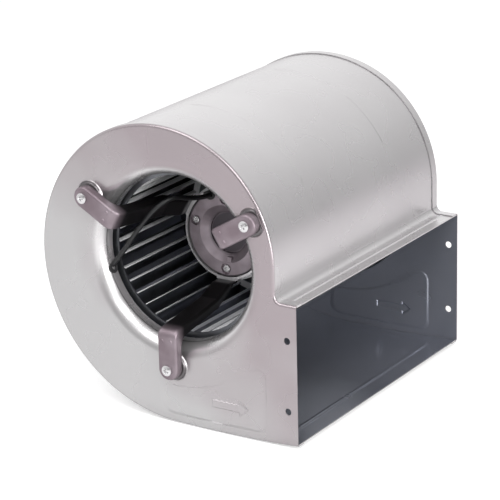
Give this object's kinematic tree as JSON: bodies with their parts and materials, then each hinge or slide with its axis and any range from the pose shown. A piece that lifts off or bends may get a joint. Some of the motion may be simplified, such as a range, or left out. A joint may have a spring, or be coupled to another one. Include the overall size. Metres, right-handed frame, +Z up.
{
  "type": "centrifugal fan",
  "caption": "Double-inlet centrifugal fan with forward-curved blades, a sheet-metal scroll housing and an external-rotor motor held on arms in one inlet.",
  "frame": {"origin": "on the shaft, at the middle of the housing's width", "axes": "+Y along the shaft towards the open inlet, -Y towards the inlet with the motor arms, +X the way the air leaves the outlet, +Z up"},
  "size_m": [0.2703, 0.3154, 0.2777],
  "materials": {
    "galvanised_sheet": "bright galvanised, soft satin",
    "arm_steel": "galvanised, satin, faint warm tint",
    "impeller_steel": "galvanised strip, dull",
    "motor_casting": "die-cast, dark, matt",
    "shell_steel": "turned, satin",
    "zinc_fasteners": "bright zinc",
    "bearing_steel": "ground",
    "lamination_steel": "stacked sheets, dull",
    "winding_copper": "enamelled wire",
    "black_rubber": "matt",
    "lead_sheath": "smooth, glossy"
  },
  "bodies": {
    "housing": {"front_side_plate": "galvanised_sheet", "back_side_plate": "galvanised_sheet", "scroll_wrap": "galvanised_sheet", "arm_upper_right": "arm_steel", "arm_lower": "arm_steel", "arm_upper_left": "arm_steel", "arm_tip_screws": "zinc_fasteners", "mount_bushes": "black_rubber", "mount_sleeves": "zinc_fasteners", "mount_screws": "zinc_fasteners", "mount_washers": "zinc_fasteners", "mount_nuts": "zinc_fasteners", "motor_flange": "motor_casting", "flange_screws": "zinc_fasteners", "stator_core": "lamination_steel", "front_winding": "winding_copper", "rear_winding": "winding_copper", "front_bearing": "bearing_steel", "rear_bearing": "bearing_steel", "lead_gland": "black_rubber", "motor_lead": "lead_sheath", "bell_grommet": "black_rubber", "wrap_grommet": "black_rubber"},
    "impeller": {"shaft": "bearing_steel", "shaft_clip": "zinc_fasteners", "rotor_shell": "shell_steel", "rotor_cage": "lamination_steel", "hub_collar": "impeller_steel", "collar_rivets": "zinc_fasteners", "centre_disc": "impeller_steel", "front_blades": "impeller_steel", "back_blades": "impeller_steel", "front_end_ring": "impeller_steel", "back_end_ring": "impeller_steel"}
  },
  "joints": [
    {"name": "impeller_spin", "type": "hinge", "parent": "housing", "child": "impeller", "pos_m": [0, 0, 0], "axis": [0, -1, 0], "continuous": true}
  ]
}
